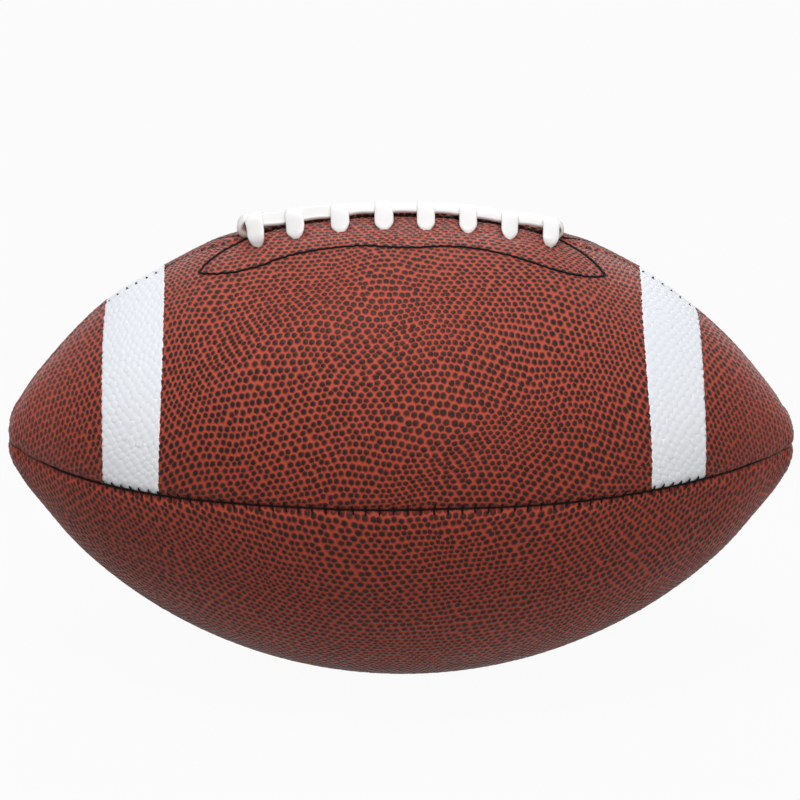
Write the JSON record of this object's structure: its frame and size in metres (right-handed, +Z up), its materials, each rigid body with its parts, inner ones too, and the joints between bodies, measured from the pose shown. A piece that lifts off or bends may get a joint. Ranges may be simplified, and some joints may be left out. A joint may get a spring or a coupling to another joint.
{
  "type": "american football",
  "caption": "Inflatable ball with pointed noses, sewn from pebbled brown panels, with white part-ring stripes, a white laced opening on top and a needle valve",
  "frame": {"origin": "Under the middle of the ball, at its lowest point as it lies with the lacing up", "axes": "+X along the ball from nose to nose, +Z up through the lacing, -Y towards the side that the picture shows"},
  "size_m": [0.28, 0.1666, 0.1706],
  "materials": {
    "cover": "pebbled, near-black pebbles on brick red, low sheen",
    "stripe": "white coating over the pebbles",
    "lace": "smooth white vinyl, soft sheen",
    "thread": "black waxed thread",
    "lining": "woven, laminated",
    "facing": "plain tan split",
    "bladder": "matt",
    "valve": "matt",
    "valve_plug": "matt"
  },
  "bodies": {
    "root": {"upper_front_panel": "cover", "upper_rear_panel": "cover", "lower_front_panel": "cover", "lower_rear_panel": "cover", "upper_front_lining": "lining", "upper_rear_lining": "lining", "lower_front_lining": "lining", "lower_rear_lining": "lining", "left_front_stripe": "stripe", "right_front_stripe": "stripe", "left_rear_stripe": "stripe", "right_rear_stripe": "stripe", "front_lace_facing": "facing", "rear_lace_facing": "facing", "lace_guard": "facing", "cross_lace": "lace", "lengthwise_lace": "lace", "bladder": "bladder", "valve_housing": "valve", "valve_plug": "valve_plug", "front_seam_thread": "thread", "rear_seam_thread": "thread", "bottom_seam_thread": "thread", "top_left_seam_thread": "thread", "top_right_seam_thread": "thread", "front_facing_thread": "thread", "rear_facing_thread": "thread"}
  },
  "joints": []
}
